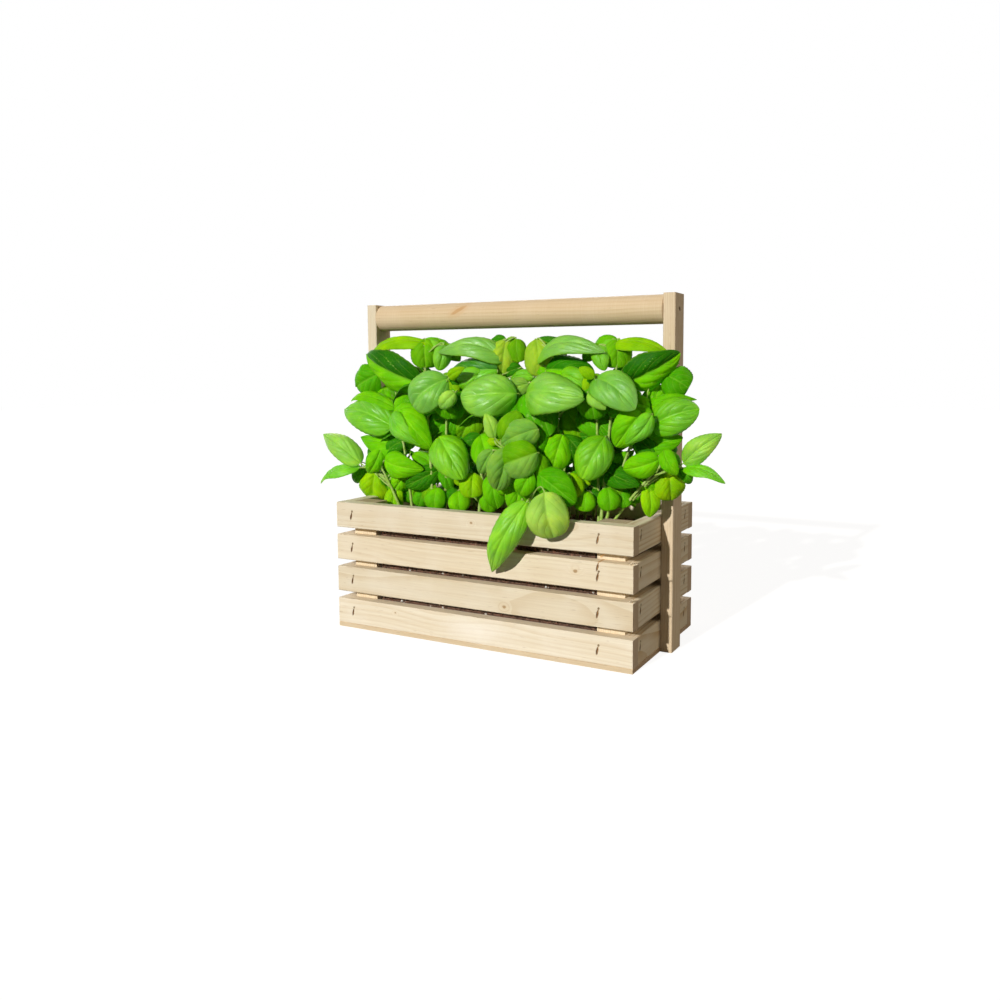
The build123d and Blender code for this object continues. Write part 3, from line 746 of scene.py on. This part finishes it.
# A stem row: across and depth of the foot, then across, height and depth of the top
side_stems = (
    (-121, 2, -150, 66, -4),
    (-111, -2, -126, 122, -2),
    (-89, -6, -97, 190, 8),
    (-76, 2, -72, 158, -6),
    (-40, -2, -22, 190, 8),
    (-22, -10, -40, 62, -10),
)
middle_leaves = (
    (-21, 90, -31, 117, 17, 9, 5, 0, "pale"),
    (-15, 88, 8, 112, 34, 11, 7, 0, "olive"),
    (26, 100, -15, 82, 34, 9, 5, 0, "grey"),
    (25, 74, -14, 60, 44, 3, -7, 0, "grey/olive"),
    (-4, 79, -19, 32, 36, 7, -1, 0, "grey"),
    (-24, 76, -39, 50, 21, 7, 5, 0, "grey"),
    (13, 19, -29, -62, 34, -10, -16, 26, "young"),
    (33, 30, 43, -20, 47, -12, -17, 14, "soft"),
    (26, 50, 66, 18, 38, 9, 7, 0, "mid"),
    (18, 52, 4, 26, 24, 3, 1, 0, "fresh"),
    (-24, 50, -20, 12, 28, 24, 22, 0, "fresh"),
    (4, 46, 0, 8, 28, 24, 22, 0, "fresh"),
    (24, 40, 28, 8, 26, 26, 24, 0, "mid"),
)
centre_leaves = (
    (16, 149, -13, 137, 22, 4, 0, 20, "grey"),
    (14, 140, -14, 124, 15, 8, 4, 0, "olive"),
    (3, 197, 6, 172, 22, 18, 14, 0, "olive"),
    (8, 166, -12, 158, 17, 16, 12, 0, "deep"),
    (21, 157, -6, 154, 15, 12, 8, 20, "bright"),
    (12, 134, 0, 118, 16, 12, 10, 0, "mid"),
)
middle_stems = (
    (-5, 25, -6, 86, 11),
    (4, 27, 20, 92, 9),
    (8, 25, 24, 42, 7),
)
# Leaf pairs up a stem, of which the front stems keep those that point away from the eye
front_tiers = (0.46, 0.62, 0.78)
back_tiers = (0.24, 0.36, 0.49, 0.67, 0.84, 1.0)
tall_stem = 100.0
stem_turn = 25.0
pair_turn = 65.0
pair_length = 38.0
pair_least = 0.45
pair_start = 6.0
pair_droop = 0.7
pair_slim = 0.66
shortest_leaf = 12.0
away_from_eye = -0.2
any_way = 1.1


def in_bed(point):
    return np.array((max(-bed_reach, min(bed_reach, point[0])), point[1], soil_top))


def leaf_pairs(foot, top, tiers, first_turn, tone_names):
    side = 1 if foot[1] > 0 else -1
    nearest = any_way if side > 0 else away_from_eye
    pairs = []
    for tier, share in enumerate(tiers):
        node = foot + (top - foot) * share
        reach = pair_length * min(1.0, pair_least + share)
        turn = radians(first_turn + pair_turn * tier)
        for sign in (1, -1):
            outward = np.array((sign * cos(turn), sign * sin(turn), 0))
            base = node + outward * pair_start
            length = reach
            inward = -side * outward[1]
            if inward > 0:
                length = min(length, (abs(base[1]) - handle_lane - lane_gap) / inward)
            if length > shortest_leaf and np.dot(outward, to_eye) < nearest:
                tip = base + (outward - overhead * pair_droop) * length
                pairs.append((base, tip, pair_slim * length, overhead, tone_names[tier % len(tone_names)]))
    return pairs


# Stems and petioles: sizes in millimetres, places as shares of a stem
stem_radius = 1.8
stem_taper = 0.55
stem_bow = 0.12
stem_set = 3
stem_rings = 14
petiole_radius = 0.9
petiole_taper = 0.7
petiole_drop = 12.0
petiole_knee = 0.4
petiole_bite = 3
petiole_rings = 8
petiole_sides = 6
lowest_joint = 0.1
highest_joint = 0.97


def curve_points(start, knee, end, count):
    t = np.linspace(0, 1, count)[:, None]
    return (1 - t) ** 2 * start + 2 * t * (1 - t) * knee + t ** 2 * end


def nearest_joint(base, stems):
    joints = []
    for foot, top in stems:
        climb = (base[2] - petiole_drop - foot[2]) / (top[2] - foot[2])
        joints.append(foot + (top - foot) * min(max(climb, lowest_joint), highest_joint))
    return min(joints, key=lambda spot: np.linalg.norm(spot - base))


def grow(name, stems, leaves, seed, hand=1, fine_leaves=0):
    plant = Foliage(seed, hand)
    for foot, top in stems:
        lean = (top - foot) * (1, 1, 0)
        knee = (foot + top) / 2 - lean * stem_bow
        path = curve_points(foot - overhead * stem_set, knee, top, stem_rings)
        radii = np.linspace(stem_radius, stem_radius * stem_taper, stem_rings)
        plant.tube(path * MM, radii * MM)
    for index, (base, tip, width, facing, tone) in enumerate(leaves):
        joint = nearest_joint(base, stems)
        first_tone, _, painted_half_tone = tone.partition("/")
        fine = index < fine_leaves
        plant.leaf(base * MM, tip * MM, width * MM, facing, first_tone, painted_half_tone or first_tone, fine)
        forward = unit(tip - base)
        knee = base - forward * petiole_knee * np.linalg.norm(base - joint)
        path = curve_points(joint, knee, base + forward * petiole_bite, petiole_rings)
        radii = np.linspace(petiole_radius, petiole_radius * petiole_taper, petiole_rings)
        plant.tube(path * MM, radii * MM, petiole_sides)
    made = plant.piece(name + "_leaves")
    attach(made, "planting")
    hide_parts(name)


# Behind most leaves of a row another one turns towards the middle of its plant
behind_turn = radians(58)
behind_share = 0.85
behind_tones = ("mid", "fresh", "mid", "olive", "deep")
behind_base = 8
behind_tip = 16
behind_facing = facing_up(25)
behind_top = 174.0
deepest = 22.0
side_heart = np.array((-80, 105))
middle_heart = np.array((5, 60))
lone_leaves = [side_leaves[index] for index in (0, 3, 4, 5, 7, 10, 11, 23)]


def behind(row, index, row_y, turned):
    base_across, base_height, tip_across, tip_height, width, base_depth, tip_depth = row[:7]
    along = np.array((tip_across - base_across, tip_height - base_height)) * behind_share
    heart = side_heart if row in side_leaves else middle_heart
    choices = []
    for turn in (behind_turn, -behind_turn):
        swung = (along[0] * cos(turn) - along[1] * sin(turn), along[0] * sin(turn) + along[1] * cos(turn))
        choices.append(np.array((base_across, base_height)) + swung)
    end = min(choices, key=lambda spot: np.linalg.norm(spot - heart))
    end[1] = min(end[1], behind_top)
    base, reach = seen(turned(base_across), base_height, row_y + min(base_depth + behind_base, deepest))
    tip = seen(turned(end[0]), end[1], row_y + min(tip_depth + behind_tip, deepest))[0]
    tone = behind_tones[index % len(behind_tones)]
    return base, tip, width * reach * behind_share, behind_facing, tone


def seen_plant(name, row_y, leaf_rows, stem_rows, seed, mirrored=False):
    def turned(across):
        return 2 * mirror_across - across if mirrored else across

    stems = []
    leaves = []
    pairs = []
    for index, (foot_across, foot_depth, top_across, top_height, top_depth) in enumerate(stem_rows):
        foot = in_bed(seen(turned(foot_across), 0, row_y + foot_depth)[0])
        top = seen(turned(top_across), top_height, row_y + top_depth)[0]
        stems.append((foot, top))
        if top_height > tall_stem:
            pairs += leaf_pairs(foot, top, front_tiers, index * stem_turn, ("deep", "mid"))
    for row in leaf_rows:
        base_across, base_height, tip_across, tip_height, width, base_depth, tip_depth, turn, tone = row
        base, reach = seen(turned(base_across), base_height, row_y + base_depth)
        tip = seen(turned(tip_across), tip_height, row_y + tip_depth)[0]
        if mirrored:
            tone = "/".join(reversed(tone.split("/")))
        leaves.append((base, tip, width * reach, facing_up(turn), tone))
    for index, row in enumerate(leaf_rows):
        if row[3] > 0 and row not in lone_leaves:
            pairs.append(behind(row, index, row_y, turned))
    grow(name, stems, leaves + pairs, seed, -1 if mirrored else 1, len(leaves))


foot_share = 0.4


def back_plant(name, middle, tops, seed):
    stems = []
    leaves = []
    for index, (offset, height) in enumerate(tops):
        foot = np.array((middle + offset * foot_share, row_depth, soil_top))
        top = np.array((middle + offset, row_depth, soil_top + height))
        stems.append((foot, top))
        leaves += leaf_pairs(foot, top, back_tiers, index * stem_turn, ("mid", "fresh", "fresh", "lime"))
    grow(name, stems, leaves, seed)


seen_plant("basil_front_left", -row_depth, side_leaves + centre_leaves, side_stems, 3)
seen_plant("basil_front_right", -row_depth, side_leaves, side_stems, 3, mirrored=True)
seen_plant("basil_front_middle", -half_width, middle_leaves, middle_stems, 5)
back_plant("basil_back_left", -82.0, ((-46, 116), (-22, 149), (2, 160), (25, 146), (48, 121)), 6)
back_plant("basil_back_right", 64.0, ((-46, 124), (-23, 157), (1, 148), (26, 158), (47, 112)), 7)


# Soil fills the bed inside the film, notched round the corner posts, and its crumbs are pressed inwards
film_gap = 1.6 * MM
soil_voxel = 2.8 * MM
crumb_size = 7 * MM
crumb_depth = 3.0 * MM
box_faces = ((3, 2, 1, 0), (4, 5, 6, 7), (0, 1, 5, 4), (1, 2, 6, 5), (2, 3, 7, 6), (3, 0, 4, 7))
soil_dark = (0.034, 0.019, 0.013, 1)
soil_brown = (0.27, 0.145, 0.10, 1)
soil_red = (0.32, 0.15, 0.10, 1)


def soil_bed():
    post_low, post_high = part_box("front_right_post")
    notch_x = post_low.x - film_gap
    notch_y = -post_high.y - film_gap
    corners = []
    faces = []
    for reach_x, reach_y in ((soil_high.x - film_gap / 2, notch_y), (notch_x, soil_high.y - film_gap / 2)):
        first = len(corners)
        for z in (soil_low.z, soil_high.z):
            corners += [(east * reach_x, north * reach_y, z) for east, north in square]
        for face in box_faces:
            faces.append([first + number for number in face])
    return new_piece("soil_bed", corners, faces, [])


def plain_mesh(piece):
    made = bpy.data.meshes.new_from_object(piece.evaluated_get(bpy.context.evaluated_depsgraph_get()))
    piece.modifiers.clear()
    return made


def dark_soil():
    g = Graph("dark_soil")
    crumb = g.noise(g.here(), 420.0, detail=5.0, roughness=0.7)
    patch = g.noise(g.here(), 60.0, detail=2.0)
    colour = g.mix(g.spread(crumb, 0.35, 0.7), soil_dark, soil_brown)
    colour = g.mix(g.spread(patch, 0.5, 0.75, 0.0, 0.5), colour, soil_red)
    g.bump(crumb, 1.6 * MM, 0.9)
    return g.finish(Base_Color=colour, Roughness=0.95, Specular_IOR_Level=0.05)


def grain_stuff(name, first, second, scale):
    g = Graph(name)
    stain = g.noise(g.here(), scale, detail=3.0)
    colour = g.mix(g.spread(stain, 0.35, 0.65), first, second)
    g.bump(stain, 0.3 * MM, 0.6)
    return g.finish(Base_Color=colour, Roughness=0.85, Specular_IOR_Level=0.1)


soil = soil_bed()
remesh = soil.modifiers.new("crumb_size", "REMESH")
remesh.mode = "VOXEL"
remesh.voxel_size = soil_voxel
clouds = bpy.data.textures.new("crumbs", "CLOUDS")
clouds.noise_scale = crumb_size
clouds.noise_depth = 2
press = soil.modifiers.new("crumbs", "DISPLACE")
press.texture = clouds
press.texture_coords = "LOCAL"
press.mid_level = 1.0
press.strength = crumb_depth
soil.data = plain_mesh(soil)
soil.data.materials.append(dark_soil())


# Grains and fibres strewn over the soil
full_turn = (6.28, 6.28, 6.28)


class ScatterTree(NodeTree):
    def __init__(self, name):
        super().__init__(bpy.data.node_groups.new(name, "GeometryNodeTree"))
        face = self.tree.interface
        face.new_socket("Ground", in_out="INPUT", socket_type="NodeSocketGeometry")
        for label in ("Per square metre", "Smallest", "Largest"):
            face.new_socket(label, in_out="INPUT", socket_type="NodeSocketFloat")
        face.new_socket("Grains", in_out="OUTPUT", socket_type="NodeSocketGeometry")
        self.given = self.add("NodeGroupInput")
        self.result = self.add("NodeGroupOutput")

    def grain(self):
        ball = self.add("GeometryNodeMeshIcoSphere", {"Radius": 1.0, "Subdivisions": 1})
        lumps = self.add("ShaderNodeTexNoise", {"Scale": 1.3, "Detail": 1.0})
        centred = {0: lumps.outputs["Color"], 1: (0.5, 0.5, 0.5)}
        push = self.add("ShaderNodeVectorMath", centred, operation="SUBTRACT")
        pushed = {"Geometry": ball.outputs["Mesh"], "Offset": push.outputs[0]}
        return self.add("GeometryNodeSetPosition", pushed).outputs[0]

    def fibre(self):
        ends = {"Resolution": 4, "Start": (-1, 0, 0), "Middle": (0.1, 0.5, 0.25), "End": (1, -0.1, 0.1)}
        line = self.add("GeometryNodeCurveQuadraticBezier", ends)
        ring = self.add("GeometryNodeCurvePrimitiveCircle", {"Resolution": 3, "Radius": 0.11})
        sweep = {"Curve": line.outputs[0], "Profile Curve": ring.outputs[0], "Fill Caps": True}
        return self.add("GeometryNodeCurveToMesh", sweep).outputs[0]

    def finish(self, shape, material, seed, clumped):
        given = self.given.outputs
        density = given["Per square metre"]
        if clumped:
            patch = self.add("ShaderNodeTexNoise", {"Scale": 45.0, "Detail": 0.0})
            clumps = {"Value": patch.outputs["Fac"], "From Min": 0.5, "From Max": 0.65, "To Max": 5.0}
            share = self.add("ShaderNodeMapRange", clumps)
            density = self.math("MULTIPLY", density, share.outputs["Result"])
        spots = {"Mesh": given["Ground"], "Density": density, "Seed": seed}
        points = self.add("GeometryNodeDistributePointsOnFaces", spots)
        sizes = {2: given["Smallest"], 3: given["Largest"], "Seed": seed + 1}
        size = self.add("FunctionNodeRandomValue", sizes)
        turns = {1: full_turn, "Seed": seed + 2}
        turn = self.add("FunctionNodeRandomValue", turns, data_type="FLOAT_VECTOR")
        placed = {
            "Points": points.outputs["Points"], "Instance": shape,
            "Rotation": turn.outputs[0], "Scale": size.outputs[1],
        }
        strewn = self.add("GeometryNodeInstanceOnPoints", placed)
        real = self.add("GeometryNodeRealizeInstances", {"Geometry": strewn.outputs[0]})
        dressed = self.add("GeometryNodeSetMaterial", {"Geometry": real.outputs[0], "Material": material})
        self.tree.links.new(dressed.outputs[0], self.result.inputs[0])


def strew(name, form, material, density, smallest, largest, seed, clumped=False):
    sizes = {"Per square metre": density, "Smallest": smallest * MM, "Largest": largest * MM}
    scatter = ScatterTree(name)
    shape = scatter.grain() if form == "grain" else scatter.fibre()
    scatter.finish(shape, material, seed, clumped)
    ground = bpy.data.objects.new(name, soil.data.copy())
    scene.collection.objects.link(ground)
    modifier = ground.modifiers.new(name, "NODES")
    modifier.node_group = scatter.tree
    for socket in scatter.tree.interface.items_tree:
        if socket.name in sizes:
            modifier[socket.identifier] = sizes[socket.name]
    ground.data = plain_mesh(ground)
    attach(ground, "planting")


white_grain = grain_stuff("white_grain", (0.86, 0.85, 0.80, 1), (0.66, 0.63, 0.56, 1), 500.0)
red_bark = grain_stuff("red_bark", (0.42, 0.19, 0.125, 1), (0.18, 0.07, 0.045, 1), 300.0)
pale_root = grain_stuff("pale_root", (0.55, 0.40, 0.26, 1), (0.34, 0.22, 0.13, 1), 300.0)
strew("white_grains", "grain", white_grain, 3200.0, 0.6, 1.7, 21, clumped=True)
strew("bark_crumbs", "grain", red_bark, 12000.0, 0.5, 1.6, 31)
strew("fine_roots", "fibre", pale_root, 4000.0, 1.5, 4.0, 41)
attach(soil, "planting")
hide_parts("soil")


# Camera at the photo's place: its optical axis isn't the picture's middle, so the lens is shifted
picture = 1000.0
focal_pixels = 846.7
axis_pixel = (571.4, 447.6)
camera_data = bpy.data.cameras.new("camera")
camera_data.sensor_width = 36.0
camera_data.lens = camera_data.sensor_width * focal_pixels / picture
camera_data.shift_x = (picture / 2 - axis_pixel[0]) / picture
camera_data.shift_y = (axis_pixel[1] - picture / 2) / picture
camera = bpy.data.objects.new("camera", camera_data)
camera.location = (0.4609, -0.7981, 0.2802)
camera.rotation_euler = (pi / 2 - 0.089, 0, 0.456)
scene.collection.objects.link(camera)
scene.camera = camera


# Floor and sky, white to the camera and in gloss but dim as lights
floor_half = 6.0
floor_glow = 0.9
floor_tint = (0.22, 0.213, 0.205, 1)
sky_tint = (1.0, 0.92, 0.82, 1)
sky_strength = 0.1
white = (1, 1, 1, 1)


def pale_floor():
    g = Graph("pale_floor")
    return g.finish(
        Base_Color=floor_tint, Roughness=0.9, Specular_IOR_Level=0.0,
        Emission_Color=white, Emission_Strength=g.math("MULTIPLY", g.direct_rays(), floor_glow),
    )


floor_corners = [(east * floor_half, north * floor_half, 0) for east, north in square]
floor = new_piece("floor", floor_corners, [(0, 1, 2, 3)], [pale_floor()], smooth=False)

world = bpy.data.worlds.new("studio")
scene.world = world
world.use_nodes = True
sky = NodeTree(world.node_tree)
dim_sky = sky.tree.nodes["Background"]
sky.feed(dim_sky.inputs["Color"], sky_tint)
sky.feed(dim_sky.inputs["Strength"], sky_strength)
white_sky = sky.add("ShaderNodeBackground", {"Color": white, "Strength": 1.0})
shares = {0: sky.direct_rays(), 1: dim_sky.outputs[0], 2: white_sky.outputs[0]}
sky_mix = sky.add("ShaderNodeMixShader", shares)
sky.feed(sky.tree.nodes["World Output"].inputs["Surface"], sky_mix.outputs[0])


# A low sun from the front, a little to the left, and two soft fills: height and heading in degrees
def far_lamp(name, strength, softness, colour, height, heading):
    data = bpy.data.lights.new(name, "SUN")
    data.energy = strength
    data.angle = radians(softness)
    data.color = colour
    lamp = bpy.data.objects.new(name, data)
    lamp.rotation_euler = (radians(90 - height), 0, radians(heading))
    scene.collection.objects.link(lamp)


far_lamp("front_sun", 3.1, 1.2, (1.0, 0.99, 0.97), 23, -7.4)
far_lamp("right_fill", 0.5, 40, (1.0, 0.85, 0.64), 30, 108)
far_lamp("back_fill", 1.6, 50, (1.0, 0.96, 0.9), 12, -150)

scene.view_settings.view_transform = "Standard"
